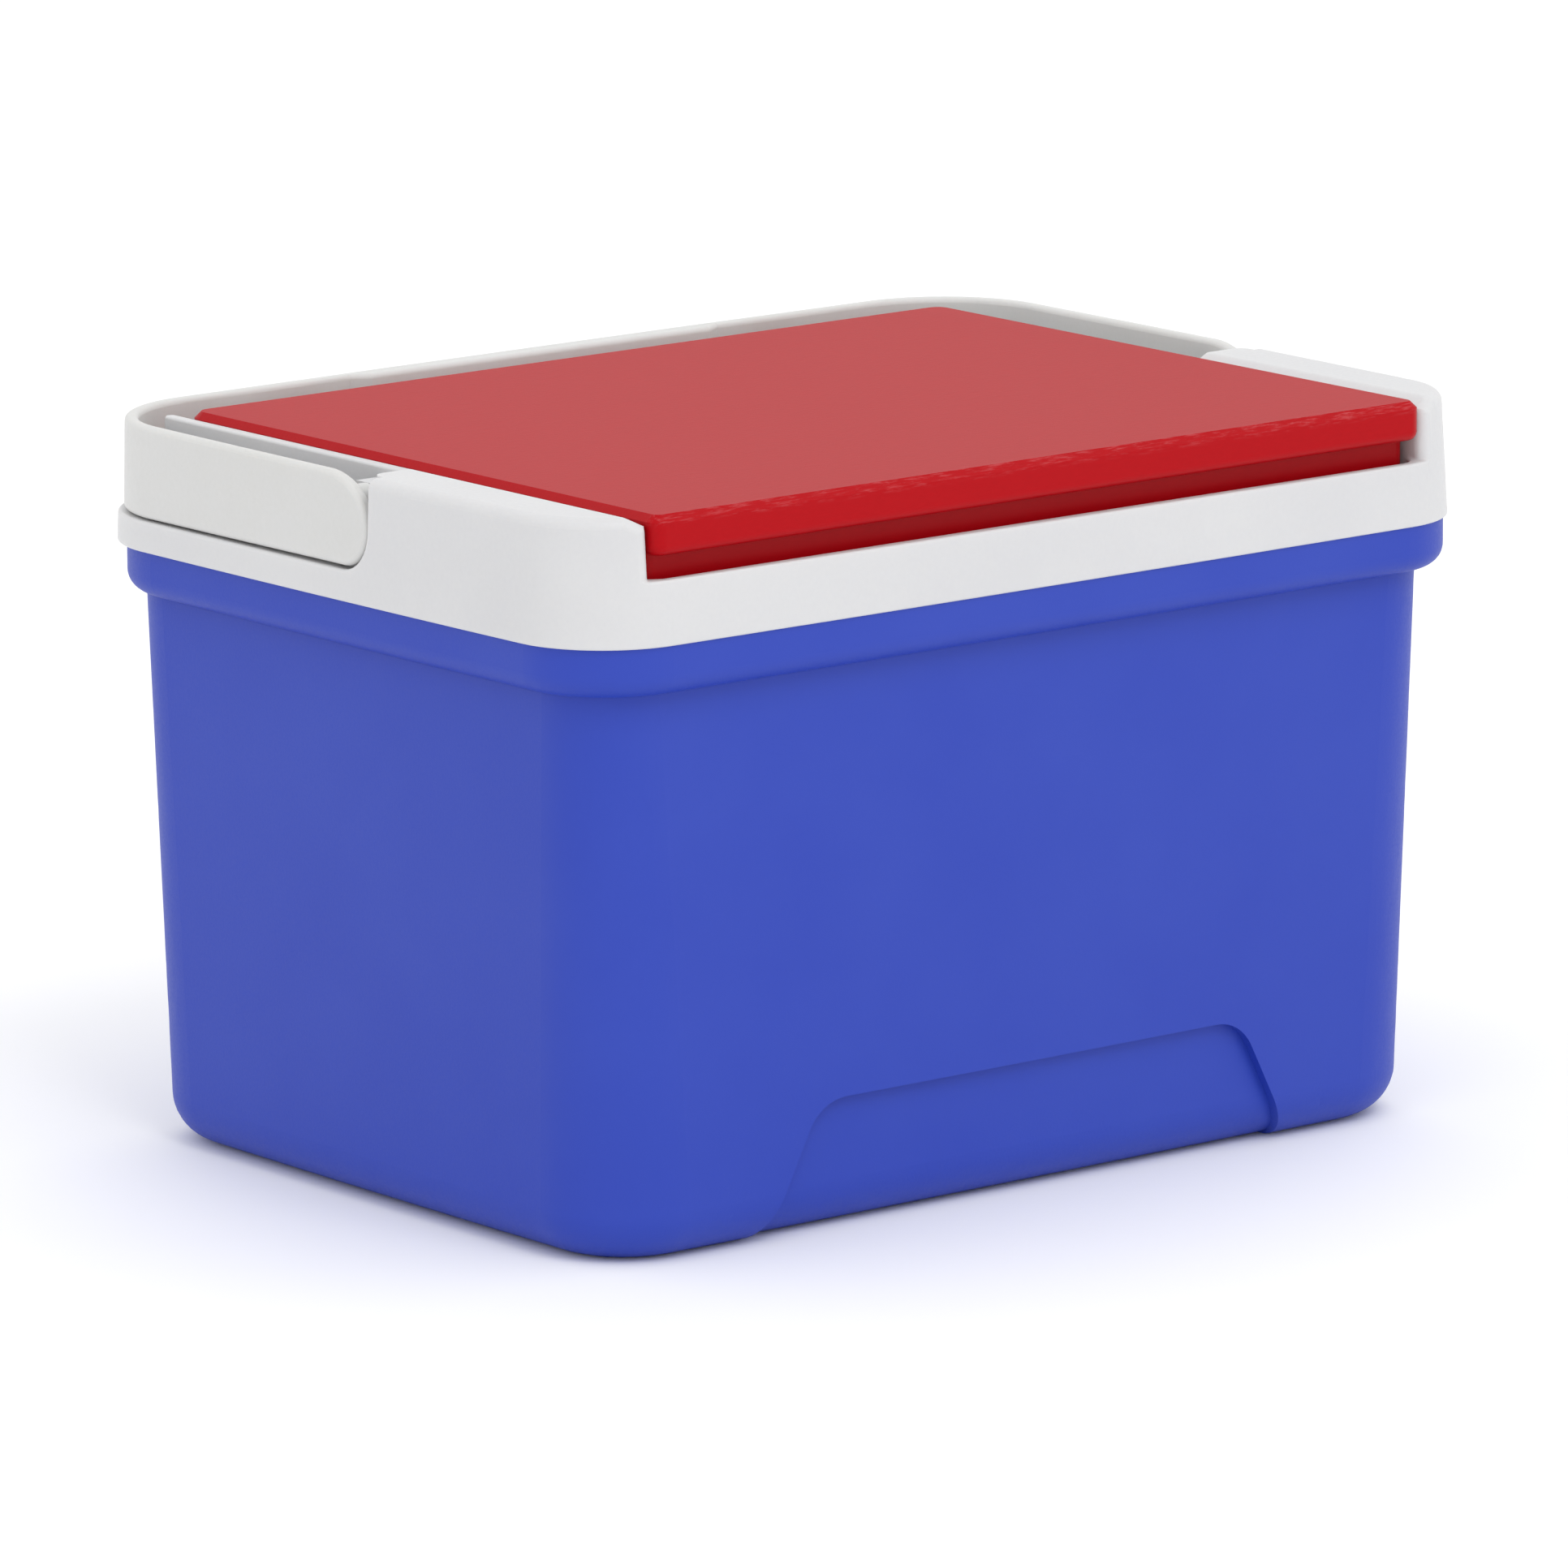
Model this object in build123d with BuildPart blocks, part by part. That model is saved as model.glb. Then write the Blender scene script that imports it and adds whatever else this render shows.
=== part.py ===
from build123d import *
import os

# Cooler chest: a blue body shell, a white liner and a white collar with foam between them,
# a foam-filled lid on two hinge pins, and a bail handle that lies around the collar.
# Millimetres. +X to the right along the chest, front at -Y, +Z up, origin on the floor
# under the middle of the chest.

# Body shell: half sizes are to the corners, before the sides bow out
BODY_TOP = 179.0                     # the collar stands on this edge
RIM_FOOT = 164.5                     # underside of the rim band
FOOT_X, FOOT_Y = 154.3, 112.9
WAIST_X, WAIST_Y = 157.8, 113.0
RIM_X, RIM_Y = 165.2, 121.0
FOOT_CORNER = 31.0
WAIST_FRONT_CORNER, WAIST_REAR_CORNER = 23.5, 24.0
RIM_FRONT_CORNER, RIM_REAR_CORNER = 30.0, 37.5
FOOT_FILLET, RIM_FILLET = 14.5, 6.0
BOW = 1.2                            # swell of each side at its middle
BODY_WALL = 2.6

# Relief pressed into the foot of the front, which leaves two feet
RELIEF_DEPTH = 3.3
RELIEF_TOP_X, RELIEF_TOP = 78.3, 39.4
RELIEF_SLOPE = 0.51                  # sideways run of its legs for each millimetre down
RELIEF_FOOT = -5.0                   # its cutter starts below the floor
RELIEF_CORNER = 15.0

# Liner: the tub that holds the food
MOUTH_X, MOUTH_FRONT, MOUTH_REAR = 132.0, -98.0, 90.0
MOUTH_CORNER = 22.0
LINER_FLOOR, LINER_TOP = 18.0, 186.0
LINER_DRAUGHT = 4.0                  # how much narrower the floor is, each side
LINER_FILLET = 12.0
LINER_WALL = 2.2
LINER_LIP = 5.0                      # width of the flange under the collar

# Collar: the top frame
COLLAR_TOP = 215.5
COLLAR_FRONT_X, COLLAR_REAR_X, COLLAR_Y = 166.4, 167.6, 121.9
COLLAR_FRONT_CORNER, COLLAR_REAR_CORNER = 30.8, 36.5
COLLAR_DRAUGHT, COLLAR_FRONT_DRAUGHT = 1.3, 2.4
COLLAR_FILLET = 3.2
COLLAR_WALL = 3.0
SHELF = 191.5                        # the lid rests here, around the mouth
WELL_X, WELL_FRONT, WELL_REAR = 142.2, -118.0, 100.3
WELL_CORNER = 6.5
SILL, SILL_REAR = 197.5, -108.0      # top of the front wall, under the lid's lip
LEDGE, DECK = 188.0, 200.0           # step under the handle; floor of the channel inside it
ARM_BACK, ARM_BACK_INNER = -21.9, -17.4
ARM_BACK_CORNER, ARM_BACK_EDGE = 12.0, 3.8
ARM_SLOPE_X, ARM_SLOPE = 148.0, 3.0  # the arms' tops slope down towards the lid
POST_FILLET, SILL_FILLET, LEDGE_FILLET = 3.0, 0.8, 1.0
FOOT_EDGE, WALL_EDGE = 0.6, 0.8
COLLAR_CORNER_REACH = 263.0          # x + y of an outer corner is more, of an inner one less
ARM_CORE, ARM_CORE_FRONT, ARM_CORE_REAR = 16.0, -100.0, -25.0
LID_WALL_X, LID_WALL_TOP, LID_WALL_END, LID_WALL_CORNER = 146.0, 213.8, 105.0, 1.8

# Handle
PIVOT_Y, PIVOT_Z = -7.0, 206.5
HANDLE_FRONT_X, HANDLE_REAR_X, HANDLE_REAR = 165.8, 166.4, 120.7
HANDLE_CORNER, HANDLE_DRAUGHT, HANDLE_WALL = 37.7, 0.6, 4.0
HANDLE_FOOT, HANDLE_REAR_FOOT, HANDLE_TOP = 189.0, 188.4, 215.5
HANDLE_END = -21.3
END_FOOT_CORNER, END_TOP_RUN = 11.0, 20.0
HANDLE_TOP_FILLET = 1.5
HANDLE_GAP = 0.8                     # between the handle's inner face and the collar
HUB_RADIUS, HUB_REACH = 4.5, 6.0
PIVOT_PIN, PIVOT_PIN_INNER, PIVOT_PIN_OUTER = 3.0, 146.0, 164.0
PIVOT_BORE_DEPTH = 12.0
PIN_END_GAP = 0.3                    # room in the handle past the end of a pin
RUNNING_CLEARANCE = 0.06
PIVOT_BLOCK_X, PIVOT_BLOCK_Y, PIVOT_BLOCK_TOP = 155.0, 12.0, 210.8
GRIP_X, GRIP_INNER, GRIP_OUTER, GRIP_FOOT, GRIP_RUN = 63.5, 113.9, 118.5, 201.0, 8.0

# Lid
LID_TOP = 215.6
LID_X, LID_LIP_FRONT, LID_REAR = 141.5, -120.6, 99.5
LIP_FOOT, LIP_REACH = 204.0, 6.6
SKIRT_X, LID_FOOT = 141.0, 192.0
LID_FRONT_CORNER, LID_REAR_CORNER = 4.0, 6.0
LID_WALL, LID_BEVEL, LIP_FILLET = 2.5, 2.0, 2.6
SKIRT_TOP = 212.6                    # the skirt runs up into the slab
PAN_WALL, PAN_FILLET = 2.0, 2.0
PLUG_X, PLUG_FRONT, PLUG_REAR, PLUG_FOOT = 128.0, -93.5, 86.0, 186.5
PLUG_CORNER = 18.0

# Lid hinge
HINGE_X, HINGE_Y, HINGE_Z = 90.0, 104.1, 209.5
KNUCKLE, KNUCKLE_RADIUS = 26.0, 3.9
LUG, LUG_GAP, LUG_RADIUS, LUG_BACK = 4.5, 0.5, 3.8, 3.0
HINGE_PIN = 2.0

FAR = 200.0                          # beyond every piece, for cutters that pass right through
PAST = 1.0                           # how far a form runs past a face, or into another form
NEAR = 0.1                           # how close to a height an edge lies to belong to it

os.makedirs("parts", exist_ok=True)


def outline(z, front_x, rear_x, front, rear, front_corner, rear_corner):
    """A plan at height z: four sides that bow out, joined by round corners."""
    mid_x, mid_y = (front_x + rear_x) / 2 + BOW, (front + rear) / 2
    with BuildSketch(Plane.XY.offset(z)) as plan:
        with BuildLine():
            ThreePointArc((-front_x, front), (0, front - BOW), (front_x, front))
            ThreePointArc((front_x, front), (mid_x, mid_y), (rear_x, rear))
            ThreePointArc((rear_x, rear), (0, rear + BOW), (-rear_x, rear))
            ThreePointArc((-rear_x, rear), (-mid_x, mid_y), (-front_x, front))
        make_face()
        fillet(plan.vertices().group_by(Axis.Y)[0], front_corner)
        fillet(plan.vertices().group_by(Axis.Y)[-1], rear_corner)
    return plan.sketch


def between(edges, low, high):
    """The edges whose middles lie between two corners, on either side of the chest."""
    return edges.filter_by(lambda edge: low[0] < abs(edge.center().X) < high[0]
                           and low[1] < edge.center().Y < high[1]
                           and low[2] < edge.center().Z < high[2])


def on_the_outside(edge):
    """Whether an edge runs along the outside of the collar, not along its hollow."""
    x, y = abs(edge.center().X), abs(edge.center().Y)
    return x > HANDLE_FRONT_X - PAST or y > COLLAR_Y - PAST or x + y > COLLAR_CORNER_REACH


def slab(z, height, x, front, rear, front_corner, rear_corner):
    """A straight-sided block with round vertical edges, standing at height z."""
    with BuildPart() as block:
        with BuildSketch(Plane.XY.offset(z)) as plan:
            with Locations((0, (front + rear) / 2)):
                Rectangle(2 * x, rear - front)
            fillet(plan.vertices().group_by(Axis.Y)[0], front_corner)
            fillet(plan.vertices().group_by(Axis.Y)[-1], rear_corner)
        extrude(amount=height)
    return block.part


# Body shell -----------------------------------------------------------------------

def tub(inset):
    """The body below its rim, moved inwards by inset."""
    foot_x, foot_y = FOOT_X - inset, FOOT_Y - inset
    waist_x, waist_y = WAIST_X - inset, WAIST_Y - inset
    with BuildPart() as form:
        loft([
            outline(inset, foot_x, foot_x, -foot_y, foot_y,
                    FOOT_CORNER - inset, FOOT_CORNER - inset),
            outline(RIM_FOOT + inset, waist_x, waist_x, -waist_y, waist_y,
                    WAIST_FRONT_CORNER - inset, WAIST_REAR_CORNER - inset),
        ])
        fillet(form.edges().group_by(Axis.Z)[0], FOOT_FILLET - inset)
    return form.part


def front_relief(inset):
    """What the relief takes from the tub: its floor is the tub's own front, set back."""
    foot_x = RELIEF_TOP_X + RELIEF_SLOPE * (RELIEF_TOP - RELIEF_FOOT)
    with BuildPart() as relief:
        with BuildSketch(Plane.XZ.offset(FAR)) as front:
            with BuildLine():
                Polyline((-foot_x, RELIEF_FOOT), (-RELIEF_TOP_X, RELIEF_TOP),
                         (RELIEF_TOP_X, RELIEF_TOP), (foot_x, RELIEF_FOOT), close=True)
            make_face()
            fillet(front.vertices().group_by(Axis.Y)[-1], RELIEF_CORNER)
            if inset:
                offset(amount=inset)
        extrude(amount=-FAR)
        add(tub(inset).moved(Location((0, RELIEF_DEPTH, 0))), mode=Mode.SUBTRACT)
    return relief.part


def body_form(inset):
    """The whole outside of the body, moved inwards by inset."""
    rim_x, rim_y = RIM_X - inset, RIM_Y - inset
    rim_foot = RIM_FOOT + inset
    with BuildPart() as form:
        extrude(outline(rim_foot, rim_x, rim_x, -rim_y, rim_y,
                        RIM_FRONT_CORNER - inset, RIM_REAR_CORNER - inset),
                amount=BODY_TOP - rim_foot)
        fillet(form.edges().group_by(Axis.Z)[0], RIM_FILLET - inset)
        add(tub(inset))
        add(front_relief(inset), mode=Mode.SUBTRACT)
    return form.part


body_outside = body_form(0)
body_inside = body_form(BODY_WALL)

with BuildPart() as outer_shell:
    add(body_outside)
    add(body_inside, mode=Mode.SUBTRACT)


# Liner ----------------------------------------------------------------------------

def mouth(z, grow):
    """The liner's mouth at height z, grown outwards by grow."""
    return outline(z, MOUTH_X + grow, MOUTH_X + grow, MOUTH_FRONT - grow, MOUTH_REAR + grow,
                   MOUTH_CORNER + grow, MOUTH_CORNER + grow)


def liner_form(grow):
    """The food space, grown outwards and downwards by grow."""
    floor_x = MOUTH_X - LINER_DRAUGHT + grow
    floor_front, floor_rear = MOUTH_FRONT + LINER_DRAUGHT - grow, MOUTH_REAR - LINER_DRAUGHT + grow
    with BuildPart() as form:
        loft([
            outline(LINER_FLOOR - grow, floor_x, floor_x, floor_front, floor_rear,
                    MOUTH_CORNER + grow, MOUTH_CORNER + grow),
            mouth(LINER_TOP, grow),
        ])
        fillet(form.edges().group_by(Axis.Z)[0], LINER_FILLET + grow)
    return form.part


food_space = liner_form(0)

with BuildPart() as liner_outside:
    add(liner_form(LINER_WALL))
    extrude(mouth(LINER_TOP - LINER_WALL, LINER_WALL + LINER_LIP), amount=LINER_WALL)

with BuildPart() as inner_liner:
    add(liner_outside.part)
    add(food_space, mode=Mode.SUBTRACT)


# Collar ---------------------------------------------------------------------------

def collar_plan(z, inset):
    """The collar's outside at height z, with its draught, moved inwards by inset."""
    rise = (z - BODY_TOP) / (COLLAR_TOP - BODY_TOP)
    lean = COLLAR_DRAUGHT * rise + inset
    return outline(z, COLLAR_FRONT_X - lean, COLLAR_REAR_X - lean,
                   COLLAR_FRONT_DRAUGHT * rise + inset - COLLAR_Y, COLLAR_Y - lean,
                   COLLAR_FRONT_CORNER - lean, COLLAR_REAR_CORNER - lean)


def handle_plan(z, inset):
    """The handle's outside at height z, moved inwards by inset, as a closed ring."""
    lean = HANDLE_DRAUGHT * (z - HANDLE_FOOT) / (HANDLE_TOP - HANDLE_FOOT) + inset
    return outline(z, HANDLE_FRONT_X - lean, HANDLE_REAR_X - lean, lean - HANDLE_REAR,
                   HANDLE_REAR - lean, HANDLE_CORNER - lean, HANDLE_CORNER - lean)


def back_half(foot, front, corner):
    """Everything behind front and above foot, with a round lower front corner."""
    with BuildPart() as space:
        with BuildSketch(Plane.YZ) as side:
            with Locations((front, foot)):
                Rectangle(FAR, FAR, align=(Align.MIN, Align.MIN))
            if corner:
                fillet(side.vertices().group_by(Axis.Y)[0].sort_by(Axis.X)[0], corner)
        extrude(amount=FAR, both=True)
    return space.part


def inside_handle(foot, inset, height):
    """The room inside the handle's ring."""
    with BuildPart() as room:
        loft([handle_plan(foot, HANDLE_WALL + HANDLE_GAP + inset),
              handle_plan(foot + height, HANDLE_WALL + HANDLE_GAP + inset)])
    return room.part


with BuildPart() as handle_space:
    add(back_half(LEDGE, ARM_BACK, ARM_BACK_CORNER))
    add(inside_handle(LEDGE, 0, FAR - LEDGE + FAR), mode=Mode.SUBTRACT)

with BuildPart() as channel:
    add(back_half(DECK, ARM_BACK_INNER, 0))
    with BuildSketch(Plane.XY.offset(DECK)) as lid_walls:
        with Locations((-(WELL_X + LID_WALL_X) / 2, 0), ((WELL_X + LID_WALL_X) / 2, 0)):
            Rectangle(LID_WALL_X - WELL_X, 2 * LID_WALL_END)
        fillet(lid_walls.vertices().group_by(Axis.Y)[-1], LID_WALL_CORNER)
    extrude(amount=LID_WALL_TOP - DECK, mode=Mode.SUBTRACT)
    block_middle = (PIVOT_BLOCK_X + LID_WALL_X) / 2
    with Locations((-block_middle, PIVOT_Y, DECK), (block_middle, PIVOT_Y, DECK)):
        Box(PIVOT_BLOCK_X - LID_WALL_X, PIVOT_BLOCK_Y, PIVOT_BLOCK_TOP - DECK,
            align=(Align.CENTER, Align.CENTER, Align.MIN), mode=Mode.SUBTRACT)

# The hollow inside the collar, which the foam fills
with BuildPart() as under_deck:
    add(inside_handle(LINER_TOP, COLLAR_WALL, DECK - COLLAR_WALL - LINER_TOP))
    add(slab(LINER_TOP, DECK - LINER_TOP, WELL_X + COLLAR_WALL, -FAR, WELL_REAR + COLLAR_WALL,
             WELL_CORNER, WELL_CORNER), mode=Mode.SUBTRACT)

with BuildPart() as collar_hollow:
    loft([collar_plan(BODY_TOP, COLLAR_WALL), collar_plan(LINER_TOP, COLLAR_WALL)])
    add(under_deck.part)
    core_x = WELL_X + COLLAR_WALL + ARM_CORE / 2
    core_y = (ARM_CORE_FRONT + ARM_CORE_REAR) / 2
    core_foot = DECK - COLLAR_WALL - PAST
    with Locations((-core_x, core_y, core_foot), (core_x, core_y, core_foot)):
        Box(ARM_CORE, ARM_CORE_REAR - ARM_CORE_FRONT, COLLAR_TOP - COLLAR_WALL - core_foot,
            align=(Align.CENTER, Align.CENTER, Align.MIN))

with BuildPart() as collar:
    loft([collar_plan(BODY_TOP, 0), collar_plan(COLLAR_TOP, 0)])
    fillet(collar.edges().group_by(Axis.Z)[-1], COLLAR_FILLET)
    add(handle_space.part, mode=Mode.SUBTRACT)
    add(channel.part, mode=Mode.SUBTRACT)
    add(slab(SHELF, FAR, WELL_X, WELL_FRONT, WELL_REAR, WELL_CORNER, WELL_CORNER),
        mode=Mode.SUBTRACT)
    add(slab(SILL, FAR, WELL_X, -FAR, SILL_REAR, PAST, PAST), mode=Mode.SUBTRACT)
    extrude(mouth(LINER_TOP, 0), amount=FAR, mode=Mode.SUBTRACT)
    add(collar_hollow.part, mode=Mode.SUBTRACT)
    # the slope from the arms' flat tops down to the lid
    with BuildSketch(Plane.XZ.offset(FAR)) as slope:
        for side in (-1, 1):
            with BuildLine():
                Polyline((side * WELL_X, COLLAR_TOP - ARM_SLOPE), (side * ARM_SLOPE_X, COLLAR_TOP),
                         (side * WELL_X, COLLAR_TOP + PAST), close=True)
            make_face()
    extrude(amount=-(FAR + ARM_BACK_INNER), mode=Mode.SUBTRACT)
    # lugs that hold the hinge pins, a pair to each knuckle of the lid
    for middle in (-HINGE_X, HINGE_X):
        for side in (-1, 1):
            near = middle + side * (KNUCKLE / 2 + LUG_GAP)
            with BuildSketch(Plane.YZ.offset(near)) as lug:
                with Locations((HINGE_Y, HINGE_Z)):
                    Circle(LUG_RADIUS)
                with Locations((HINGE_Y + LUG_BACK / 2, (DECK - PAST + HINGE_Z) / 2)):
                    Rectangle(2 * LUG_RADIUS + LUG_BACK, HINGE_Z - DECK + PAST)
                with Locations((HINGE_Y, HINGE_Z)):
                    Circle(HINGE_PIN, mode=Mode.SUBTRACT)
            extrude(amount=side * LUG)
    # bores for the handle's pivot pins
    for side in (-1, 1):
        with BuildSketch(Plane.YZ.offset(side * PIVOT_PIN_INNER)):
            with Locations((PIVOT_Y, PIVOT_Z)):
                Circle(PIVOT_PIN)
        extrude(amount=side * PIVOT_BORE_DEPTH, mode=Mode.SUBTRACT)
    # soft edges: the posts beside the lid, the front wall's top, the ends of the arms, the
    # lid walls, the ledge and the foot
    fillet(between(collar.edges(), (WELL_X - PAST, -COLLAR_Y, SILL + PAST),
                   (WELL_X + PAST, WELL_FRONT, COLLAR_TOP)), POST_FILLET)
    fillet(between(collar.edges(), (-PAST, -FAR, SILL - NEAR), (WELL_X + PAST, 0, SILL + NEAR)),
           SILL_FILLET)
    fillet(between(collar.edges(), (PIVOT_BLOCK_X, ARM_BACK_INNER - PAST, DECK + PAST),
                   (COLLAR_REAR_X, ARM_BACK_INNER + PAST, COLLAR_TOP - PAST)), ARM_BACK_EDGE)
    fillet(between(collar.edges(), (WELL_X - PAST, 0, LID_WALL_TOP - NEAR),
                   (LID_WALL_X + PAST, COLLAR_Y, LID_WALL_TOP + NEAR)), WALL_EDGE)
    ledge_edges = collar.edges().filter_by(GeomType.BSPLINE).filter_by_position(
        Axis.Z, LEDGE - NEAR, LEDGE + NEAR)
    fillet(ledge_edges.filter_by(on_the_outside), LEDGE_FILLET)
    fillet(collar.edges().group_by(Axis.Z)[0].filter_by(on_the_outside), FOOT_EDGE)


# Foam of the body -----------------------------------------------------------------

with BuildPart() as body_foam:
    add(body_inside)
    add(collar_hollow.part)
    add(liner_outside.part, mode=Mode.SUBTRACT)
    add(food_space, mode=Mode.SUBTRACT)


# Lid ------------------------------------------------------------------------------

def lid_form(inset):
    """The lid's outside, moved inwards by inset: a slab with a lip over a narrower skirt."""
    with BuildPart() as form:
        add(slab(LIP_FOOT + inset, LID_TOP - LIP_FOOT - 2 * inset, LID_X - inset,
                 LID_LIP_FRONT + inset, LID_REAR - inset,
                 LID_FRONT_CORNER, LID_REAR_CORNER))
        if not inset:
            chamfer(form.edges().group_by(Axis.Z)[-1], LID_BEVEL)
            fillet(form.edges().group_by(Axis.Z)[0], LIP_FILLET)
        add(slab(LID_FOOT, SKIRT_TOP - LID_FOOT, SKIRT_X - inset,
                 LID_LIP_FRONT + LIP_REACH + inset, LID_REAR - inset,
                 LID_FRONT_CORNER, LID_REAR_CORNER))
    return form.part


with BuildPart() as lid_shell:
    add(lid_form(0))
    for middle in (-HINGE_X, HINGE_X):
        with BuildSketch(Plane.YZ.offset(middle - KNUCKLE / 2)):
            with Locations((HINGE_Y, HINGE_Z)):
                Circle(KNUCKLE_RADIUS)
            with Locations(((LID_REAR - PAST + HINGE_Y) / 2, HINGE_Z)):
                Rectangle(HINGE_Y - LID_REAR + PAST, 2 * KNUCKLE_RADIUS)
            with Locations((HINGE_Y, HINGE_Z)):
                Circle(HINGE_PIN + RUNNING_CLEARANCE, mode=Mode.SUBTRACT)
        extrude(amount=KNUCKLE)
    add(lid_form(LID_WALL), mode=Mode.SUBTRACT)

pan_front, pan_rear = LID_LIP_FRONT + LIP_REACH + LID_WALL, LID_REAR - LID_WALL

with BuildPart() as lid_pan:
    add(slab(LID_FOOT, PAN_WALL, SKIRT_X - LID_WALL, pan_front, pan_rear,
             LID_FRONT_CORNER, LID_REAR_CORNER))
    add(slab(PLUG_FOOT, LID_FOOT - PLUG_FOOT, PLUG_X, PLUG_FRONT, PLUG_REAR,
             PLUG_CORNER, PLUG_CORNER))
    fillet(lid_pan.edges().group_by(Axis.Z)[0], PAN_FILLET)
    add(slab(PLUG_FOOT + PAN_WALL, LID_FOOT - PLUG_FOOT, PLUG_X - PAN_WALL,
             PLUG_FRONT + PAN_WALL, PLUG_REAR - PAN_WALL,
             PLUG_CORNER - PAN_WALL, PLUG_CORNER - PAN_WALL), mode=Mode.SUBTRACT)

with BuildPart() as lid_foam:
    add(lid_form(LID_WALL))
    add(slab(LID_FOOT, PAN_WALL, SKIRT_X, pan_front - LID_WALL, pan_rear + LID_WALL,
             PAST, PAST),
        mode=Mode.SUBTRACT)
    add(slab(PLUG_FOOT + PAN_WALL, LID_FOOT - PLUG_FOOT, PLUG_X - PAN_WALL,
             PLUG_FRONT + PAN_WALL, PLUG_REAR - PAN_WALL,
             PLUG_CORNER - PAN_WALL, PLUG_CORNER - PAN_WALL))


# Handle ---------------------------------------------------------------------------

with BuildPart() as bail_handle:
    loft([handle_plan(HANDLE_REAR_FOOT - PAST, 0), handle_plan(HANDLE_TOP + PAST, 0)])
    loft([handle_plan(HANDLE_REAR_FOOT - PAST, HANDLE_WALL),
          handle_plan(HANDLE_TOP + PAST, HANDLE_WALL)], mode=Mode.SUBTRACT)
    # the grip: a thicker top edge in the middle of the crossbar
    with BuildSketch(Plane.XY.offset(GRIP_FOOT)):
        with BuildLine():
            Polyline((-GRIP_X - GRIP_RUN, GRIP_OUTER), (-GRIP_X, GRIP_INNER), (GRIP_X, GRIP_INNER),
                     (GRIP_X + GRIP_RUN, GRIP_OUTER), close=True)
        make_face()
    extrude(amount=HANDLE_TOP - GRIP_FOOT)
    # the side view: level top and foot, and a round end in front of each pivot
    with BuildSketch(Plane.YZ) as side_view:
        foot_arc_z = HANDLE_FOOT + END_FOOT_CORNER
        with BuildLine():
            Polyline((HANDLE_END + END_FOOT_CORNER, HANDLE_FOOT), (0, HANDLE_FOOT),
                     (HANDLE_REAR + PAST, HANDLE_REAR_FOOT), (HANDLE_REAR + PAST, HANDLE_TOP),
                     (HANDLE_END + END_TOP_RUN, HANDLE_TOP))
            EllipticalCenterArc((HANDLE_END + END_TOP_RUN, foot_arc_z), END_TOP_RUN,
                                HANDLE_TOP - foot_arc_z, start_angle=90, arc_size=90)
            CenterArc((HANDLE_END + END_FOOT_CORNER, foot_arc_z), END_FOOT_CORNER, 180, 90)
        make_face()
    extrude(amount=FAR, both=True, mode=Mode.INTERSECT)
    fillet(bail_handle.edges().group_by(Axis.Z)[-1], HANDLE_TOP_FILLET)
    for side in (-1, 1):
        inner = side * (HANDLE_FRONT_X - HANDLE_WALL - HUB_REACH)
        with BuildSketch(Plane.YZ.offset(inner)):
            with Locations((PIVOT_Y, PIVOT_Z)):
                Circle(HUB_RADIUS)
        extrude(amount=side * (HUB_REACH + PAST))
        with BuildSketch(Plane.YZ.offset(inner)):
            with Locations((PIVOT_Y, PIVOT_Z)):
                Circle(PIVOT_PIN + RUNNING_CLEARANCE)
        extrude(amount=side * (PIVOT_PIN_OUTER + PIN_END_GAP - abs(inner)), mode=Mode.SUBTRACT)


# Pins -----------------------------------------------------------------------------

with BuildPart() as handle_pivot_pins:
    for side in (-1, 1):
        with BuildSketch(Plane.YZ.offset(side * PIVOT_PIN_INNER)):
            with Locations((PIVOT_Y, PIVOT_Z)):
                Circle(PIVOT_PIN)
        extrude(amount=side * (PIVOT_PIN_OUTER - PIVOT_PIN_INNER))

with BuildPart() as lid_hinge_pins:
    for middle in (-HINGE_X, HINGE_X):
        reach = KNUCKLE / 2 + LUG_GAP + LUG
        with BuildSketch(Plane.YZ.offset(middle - reach)):
            with Locations((HINGE_Y, HINGE_Z)):
                Circle(HINGE_PIN)
        extrude(amount=2 * reach)


PIECES = {
    "outer_shell": outer_shell,
    "inner_liner": inner_liner,
    "body_foam": body_foam,
    "collar": collar,
    "lid_hinge_pins": lid_hinge_pins,
    "handle_pivot_pins": handle_pivot_pins,
    "lid_shell": lid_shell,
    "lid_foam": lid_foam,
    "lid_pan": lid_pan,
    "bail_handle": bail_handle,
}

for name, piece in PIECES.items():
    piece.part.label = name
    export_step(piece.part, f"parts/{name}.step")
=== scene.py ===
import bpy
from math import cos, radians, sin
from mathutils import Matrix, Vector

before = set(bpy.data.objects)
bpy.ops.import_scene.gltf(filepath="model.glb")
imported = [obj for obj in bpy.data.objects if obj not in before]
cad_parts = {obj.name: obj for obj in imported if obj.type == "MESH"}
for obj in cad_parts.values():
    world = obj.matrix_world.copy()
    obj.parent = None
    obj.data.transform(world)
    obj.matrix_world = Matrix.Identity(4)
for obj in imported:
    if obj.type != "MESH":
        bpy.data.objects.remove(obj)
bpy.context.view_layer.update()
scene = bpy.context.scene


# Body shell -----------------------------------------------------------------------
# The tub is one injection-moulded shell of polyethylene with a fine matte grain from the
# etched mould. Foam fills it from behind, which leaves the sides very slightly wavy.

def linear(hex_colour):
    """A shader colour from an sRGB hex value."""
    parts = [int(hex_colour[i:i + 2], 16) / 255 for i in (1, 3, 5)]
    return [c / 12.92 if c <= 0.04045 else ((c + 0.055) / 1.055) ** 2.4 for c in parts] + [1.0]


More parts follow.
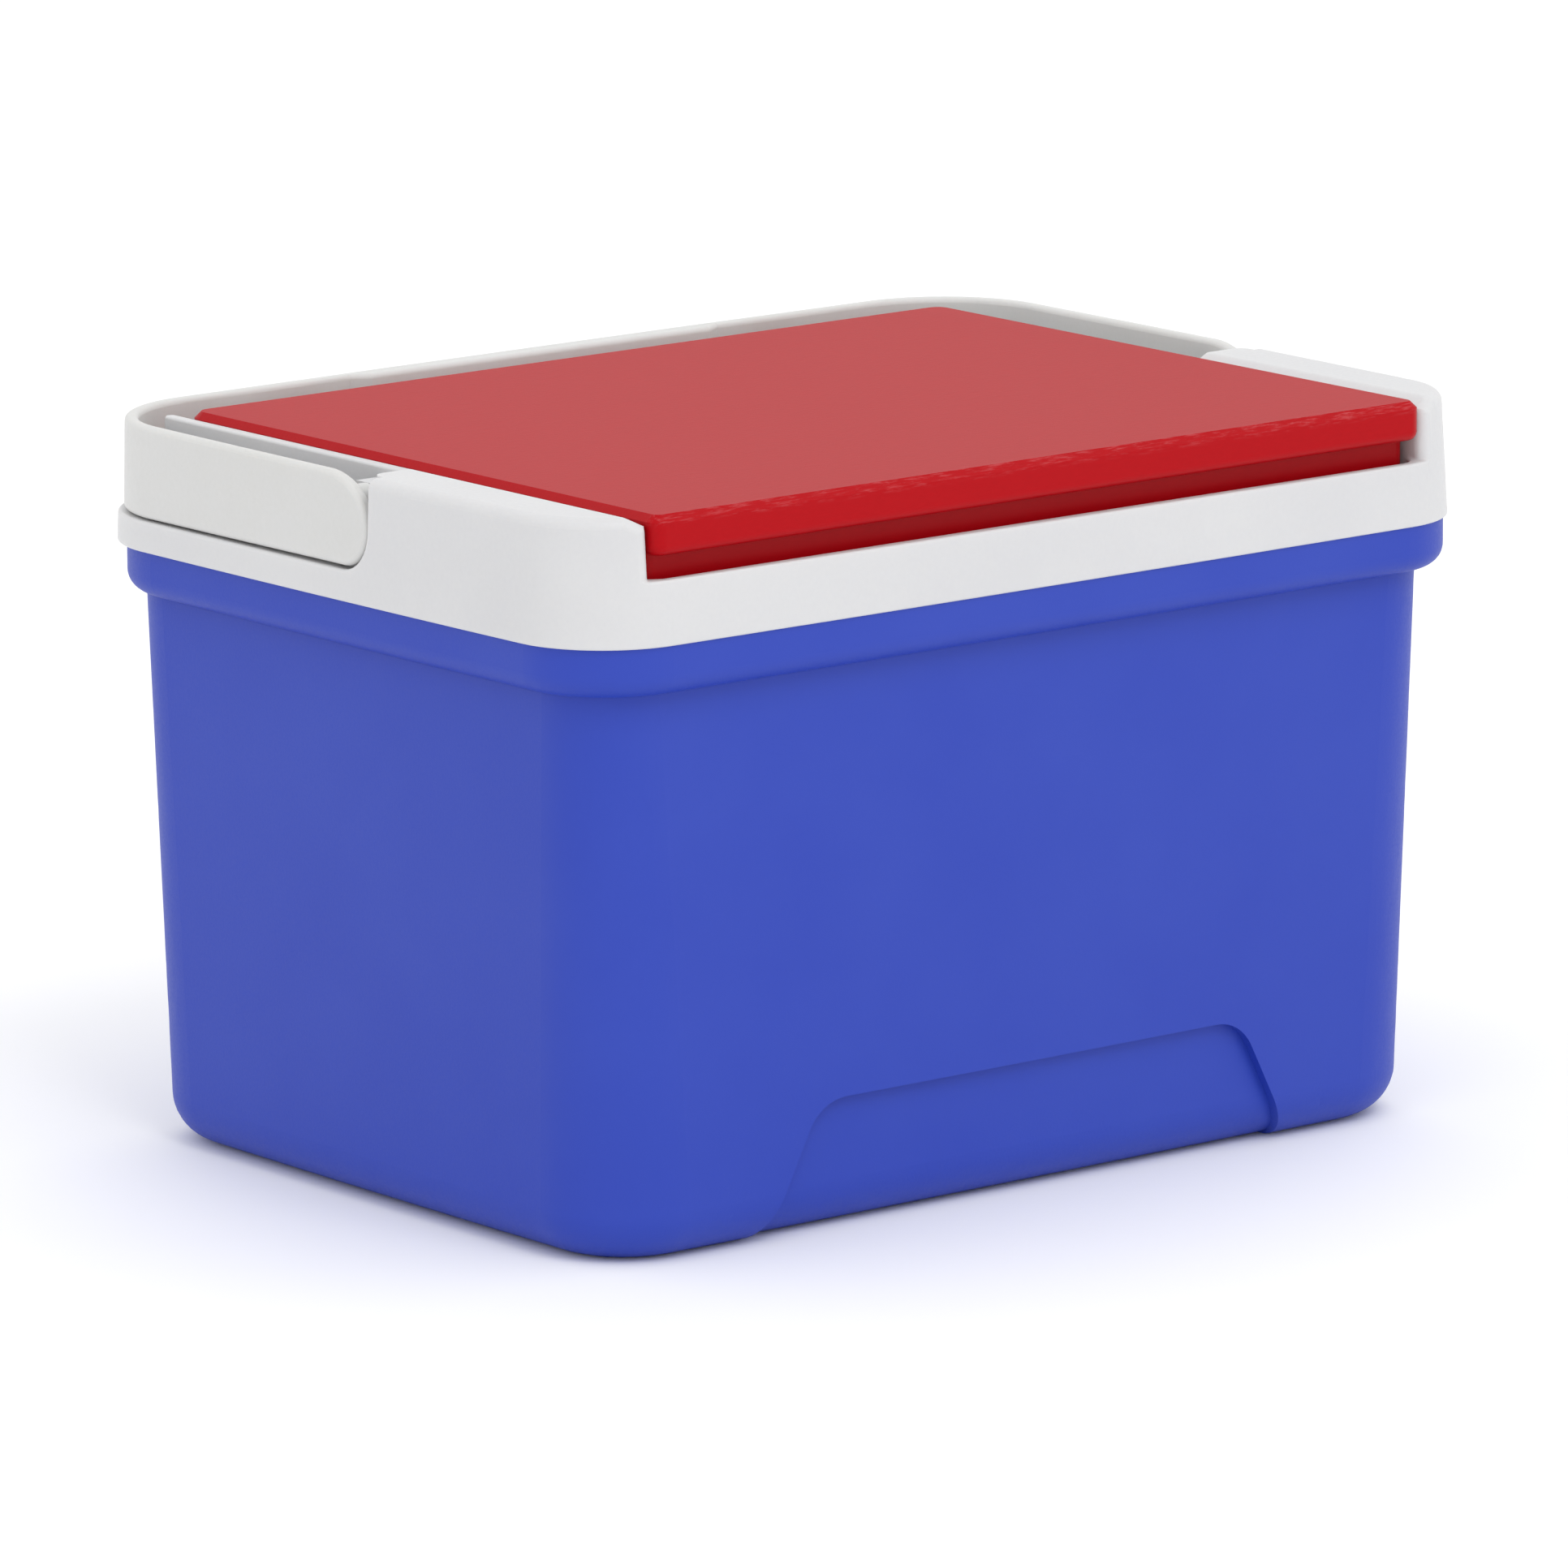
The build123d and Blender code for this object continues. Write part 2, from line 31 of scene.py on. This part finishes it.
def add(material, kind, settings=None, **links):
    """Add a node. Settings go to its properties and sockets, links come from other nodes."""
    node = material.node_tree.nodes.new(kind)
    for key, value in (settings or {}).items():
        if isinstance(key, str) and hasattr(node, key):
            setattr(node, key, value)
        else:
            node.inputs[key].default_value = value
    for key, source in links.items():
        socket = node.inputs[int(key[1:])] if key[0] == "_" else node.inputs[key.replace("_", " ")]
        material.node_tree.links.new(source, socket)
    return node


MILLIMETRE = 0.001
WAVE_DEPTH_MM = 0.05                 # how far a moulded face strays from flat
GLOW_MM = 5                          # how far light travels through white plastic


def per(size_mm):
    """The scale of a noise whose features are about size_mm across."""
    return 1 / (size_mm * MILLIMETRE)


def moulded_plastic(name, colour, shade, grain_mm, grain_depth_mm, rough, rough_swing,
                    specular=0.5, glow=0.0):
    """Moulded plastic: pigment that drifts a little, mould grain, and sides that wave a little.
    glow is how much of the light travels through the plastic."""
    material = bpy.data.materials.new(name)
    material.use_nodes = True
    material.node_tree.nodes.clear()
    place = add(material, "ShaderNodeTexCoord").outputs["Object"]
    # pigment that drifts over a few centimetres, and specks about the size of the grain
    drift = add(material, "ShaderNodeTexNoise", {"Scale": per(45), "Detail": 3.0}, Vector=place)
    grain = add(material, "ShaderNodeTexNoise",
                {"Scale": per(grain_mm), "Detail": 4.0, "Roughness": 0.6},
                Vector=place)
    blend = add(material, "ShaderNodeMath", {"operation": "MULTIPLY_ADD", 1: 0.55},
                _0=grain.outputs["Fac"], _2=drift.outputs["Fac"])
    ramp = add(material, "ShaderNodeMapRange",
               {"From Min": 0.55, "From Max": 1.0, "To Min": 0.0, "To Max": 1.0},
               Value=blend.outputs["Value"])
    pigment = add(material, "ShaderNodeMix",
                  {"data_type": "RGBA", 6: linear(colour), 7: linear(shade)},
                  _0=ramp.outputs["Result"])
    polish = add(material, "ShaderNodeMapRange",
                 {"From Min": 0.3, "From Max": 0.7, "To Min": rough - rough_swing,
                  "To Max": rough + rough_swing}, Value=grain.outputs["Fac"])
    wave = add(material, "ShaderNodeTexNoise", {"Scale": per(60), "Detail": 1.0}, Vector=place)
    sway = add(material, "ShaderNodeBump",
               {"Strength": 1.0, "Distance": WAVE_DEPTH_MM * MILLIMETRE},
               Height=wave.outputs["Fac"])
    relief = add(material, "ShaderNodeBump",
                 {"Strength": 1.0, "Distance": grain_depth_mm * MILLIMETRE},
                 Height=grain.outputs["Fac"], Normal=sway.outputs["Normal"])
    shader = add(material, "ShaderNodeBsdfPrincipled",
                 {"IOR": 1.5, "Specular IOR Level": specular, "Subsurface Weight": glow,
                  "Subsurface Radius": (1.0, 0.9, 0.8), "Subsurface Scale": GLOW_MM * MILLIMETRE},
                 Base_Color=pigment.outputs[2], Roughness=polish.outputs["Result"],
                 Normal=relief.outputs["Normal"])
    add(material, "ShaderNodeOutputMaterial", Surface=shader.outputs["BSDF"])
    return material


def dress(node, material):
    """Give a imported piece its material."""
    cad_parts[node].data.materials.clear()
    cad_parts[node].data.materials.append(material)


# the etched grain is about 0.4 mm in the mould and drawn at 0.9 mm so that it shows
blue_polyethylene = moulded_plastic("blue_polyethylene_etched", "#213BA7", "#263FA9", 0.9, 0.035,
                                    0.5, 0.06, specular=0.36)
dress("outer_shell", blue_polyethylene)


# Liner and lid pan ----------------------------------------------------------------
# The liner and the plate under the lid are thin white polystyrene, vacuum formed over a
# polished tool, so they are smoother and glossier than the outside.

white_polystyrene = moulded_plastic("white_polystyrene_formed", "#D9DADA", "#D6D7D6", 2.5, 0.006,
                                    0.28, 0.04)
dress("inner_liner", white_polystyrene)
dress("lid_pan", white_polystyrene)


# Foam -----------------------------------------------------------------------------
# Polyurethane foam is poured between the shells and sets as a pale yellow block of small
# closed cells. It shows nowhere, except through a cut.

yellow_foam = moulded_plastic("polyurethane_foam_closed_cell", "#E6D9A6", "#D9C98C", 1.6, 0.4,
                              0.85, 0.05)
dress("body_foam", yellow_foam)
dress("lid_foam", yellow_foam)


# Collar ---------------------------------------------------------------------------
# The collar is injection-moulded white polypropylene with a satin finish. It is pressed
# onto the rim of the body and holds the pins of the lid and of the handle.

white_polypropylene = moulded_plastic("white_polypropylene_satin", "#CCCCCD", "#C8C8CA", 1.4,
                                      0.008, 0.42, 0.05, specular=0.4, glow=0.25)
dress("collar", white_polypropylene)


# Handle ---------------------------------------------------------------------------
# The bail handle is a separate moulding of the same polypropylene, a little warmer in
# colour. It turns on two pins hidden inside its ends.

warm_polypropylene = moulded_plastic("warm_white_polypropylene_satin", "#CBCBCA", "#C7C7C5", 1.4,
                                     0.008, 0.42, 0.05, specular=0.4, glow=0.25)
dress("bail_handle", warm_polypropylene)


# Pins -----------------------------------------------------------------------------
# Four short pins of plain acetal carry the lid and the handle. They are turned smooth.

acetal = moulded_plastic("acetal_turned", "#DADAD2", "#D2D2C8", 0.8, 0.006, 0.3, 0.04)
dress("lid_hinge_pins", acetal)
dress("handle_pivot_pins", acetal)


# Lid ------------------------------------------------------------------------------
# The lid is one red polyethylene moulding. Its top is finely textured, its lip is smooth
# from the mould and scuffed along the top edge by fingers.

LID_TOP, LIP_FRONT = 0.2156, -0.1206
SCUFF_TOP_END, SCUFF_LIP_END = -0.1150, 0.2120   # where the scuffs fade out, on top and on the lip


def red_polyethylene():
    """The lid's plastic: textured on top, glossier on the lip, and scuffed along the edge."""
    material = bpy.data.materials.new("red_polyethylene_textured")
    material.use_nodes = True
    material.node_tree.nodes.clear()
    coordinates = add(material, "ShaderNodeTexCoord")
    place = coordinates.outputs["Object"]
    spot = add(material, "ShaderNodeSeparateXYZ", _0=place)
    facing = add(material, "ShaderNodeSeparateXYZ", _0=coordinates.outputs["Normal"])
    # the top's texture runs faintly along the lid, as the cutter left it in the mould
    along = add(material, "ShaderNodeMapping", {"Scale": (0.3, 1, 1)}, Vector=place)
    grain = add(material, "ShaderNodeTexNoise",
                {"Scale": per(0.9), "Detail": 4.0, "Roughness": 0.6}, Vector=along.outputs["Vector"])
    pigment = add(material, "ShaderNodeMix",
                  {"data_type": "RGBA", 6: linear("#AD0410"), 7: linear("#A0030E")},
                  _0=grain.outputs["Fac"])
    # fine scratches, only where fingers rub: the front of the top and the edge below it
    near_front = add(material, "ShaderNodeMapRange",
                     {"From Min": SCUFF_TOP_END, "From Max": LIP_FRONT}, Value=spot.outputs["Y"])
    near_top = add(material, "ShaderNodeMapRange",
                   {"From Min": SCUFF_LIP_END, "From Max": LID_TOP}, Value=spot.outputs["Z"])
    rubbed = add(material, "ShaderNodeMath", {"operation": "MULTIPLY"},
                 _0=near_front.outputs["Result"], _1=near_top.outputs["Result"])
    streaks = add(material, "ShaderNodeMapping", {"Scale": (0.12, 1, 1)}, Vector=place)
    scratch = add(material, "ShaderNodeTexNoise",
                  {"Scale": per(0.7), "Detail": 3.0, "Roughness": 0.7},
                  Vector=streaks.outputs["Vector"])
    scratched = add(material, "ShaderNodeMapRange",
                    {"From Min": 0.5, "From Max": 0.7, "To Max": 0.4}, Value=scratch.outputs["Fac"])
    scuff = add(material, "ShaderNodeMath", {"operation": "MULTIPLY"},
                _0=rubbed.outputs["Value"], _1=scratched.outputs["Result"])
    worn = add(material, "ShaderNodeMix", {"data_type": "RGBA", 7: linear("#D07C80")},
               _0=scuff.outputs["Value"], _6=pigment.outputs[2])
    # the lip is polished in the mould and the top is not
    polish = add(material, "ShaderNodeMapRange", {"To Min": 0.34, "To Max": 0.48},
                 Value=facing.outputs["Z"])
    dulled = add(material, "ShaderNodeMath", {"operation": "MULTIPLY_ADD", 1: 0.3},
                 _0=scuff.outputs["Value"], _2=polish.outputs["Result"])
    rise = add(material, "ShaderNodeMapRange", {"To Min": 0.1, "To Max": 1.0},
               Value=facing.outputs["Z"])
    relief = add(material, "ShaderNodeBump", {"Distance": 0.05 * MILLIMETRE},
                 Strength=rise.outputs["Result"], Height=grain.outputs["Fac"])
    shader = add(material, "ShaderNodeBsdfPrincipled", {"IOR": 1.5, "Specular IOR Level": 0.1},
                 Base_Color=worn.outputs[2], Roughness=dulled.outputs["Value"],
                 Normal=relief.outputs["Normal"])
    add(material, "ShaderNodeOutputMaterial", Surface=shader.outputs["BSDF"])
    return material


dress("lid_shell", red_polyethylene())


# Studio ---------------------------------------------------------------------------
# A wide white floor, an even white sky and one large soft light, up in front.

def studio_light(name, place, size, power):
    """A square soft light that faces the chest."""
    lamp = bpy.data.lights.new(name, "AREA")
    lamp.energy = power
    lamp.size = size
    holder = bpy.data.objects.new(name, lamp)
    scene.collection.objects.link(holder)
    holder.location = place
    holder.rotation_euler = (chest_middle - Vector(place)).to_track_quat("-Z", "Y").to_euler()


chest_middle = Vector((0, 0, 0.1))
floor_material = moulded_plastic("white_studio_floor", "#FBFBFB", "#FBFBFB", 5, 0.0, 0.8, 0.02)
bpy.ops.object.select_all(action="DESELECT")
bpy.ops.mesh.primitive_plane_add(size=12)
floor = bpy.context.object
floor.name = "floor"
floor.data.materials.append(floor_material)

sky = bpy.data.worlds.new("studio")
sky.use_nodes = True
sky.node_tree.nodes["Background"].inputs["Color"].default_value = (1, 1, 1, 1)
sky.node_tree.nodes["Background"].inputs["Strength"].default_value = 1.1
scene.world = sky
studio_light("key", (-0.3, -1.9, 2.3), 1.4, 18)

# The camera stands 3.4 m away and looks along the chest's front left corner.
AZIMUTH, ELEVATION, ROLL = radians(-38.687), radians(11.936), radians(-0.299)
DISTANCE, TARGET_HEIGHT = 3.42349, 0.10174
LENS_MM, SENSOR_MM = 268.64, 36
backwards = Vector((sin(AZIMUTH) * cos(ELEVATION), -cos(AZIMUTH) * cos(ELEVATION), sin(ELEVATION)))
level = Vector((cos(AZIMUTH), sin(AZIMUTH), 0))
upright = backwards.cross(level)
across = cos(ROLL) * level + sin(ROLL) * upright
above = cos(ROLL) * upright - sin(ROLL) * level
stand = Vector((0, 0, TARGET_HEIGHT)) + backwards * DISTANCE
camera = bpy.data.cameras.new("camera")
camera.lens = LENS_MM
camera.sensor_width = SENSOR_MM
camera.clip_end = 20
tripod = bpy.data.objects.new("camera", camera)
scene.collection.objects.link(tripod)
turn = Matrix((across, above, backwards)).transposed().to_4x4()
tripod.matrix_world = Matrix.Translation(stand) @ turn
scene.camera = tripod
scene.view_settings.view_transform = "Standard"
